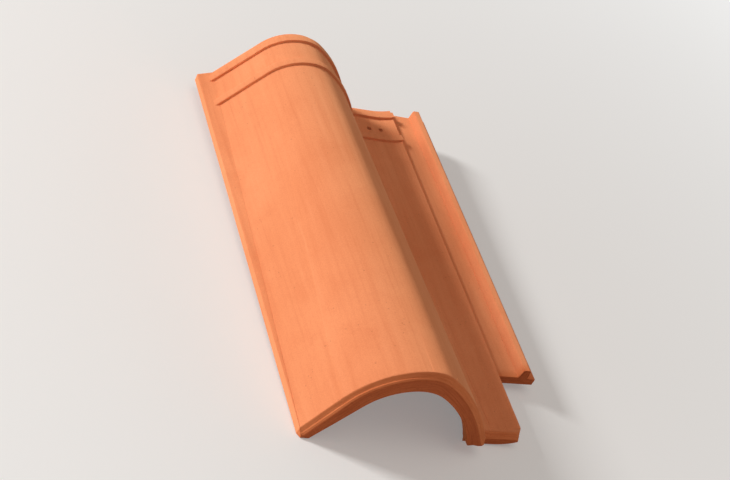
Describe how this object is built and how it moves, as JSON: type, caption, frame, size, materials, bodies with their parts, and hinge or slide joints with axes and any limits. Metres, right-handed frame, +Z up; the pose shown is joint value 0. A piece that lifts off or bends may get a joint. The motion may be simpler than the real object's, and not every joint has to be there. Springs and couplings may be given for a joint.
{
  "type": "clay roof tile",
  "caption": "Interlocking terracotta roof tile with a tapered half-round roll, a shallow pan, a side gutter and rib, head bars and hanging nibs.",
  "frame": {"origin": "middle of the tile on the floor it lies on: the centre of its box, at its lowest point", "axes": "+Y up the slope from the nose to the head, +X across from the roll to the pan, +Z up; the tile lies on its toe, pan lip and inner nib, so its pan is tilted about 5 degrees"},
  "size_m": [0.269, 0.448, 0.0973],
  "materials": {
    "terracotta": "matte unglazed fired clay"
  },
  "bodies": {
    "root": {"roof_tile": "terracotta"}
  },
  "joints": []
}
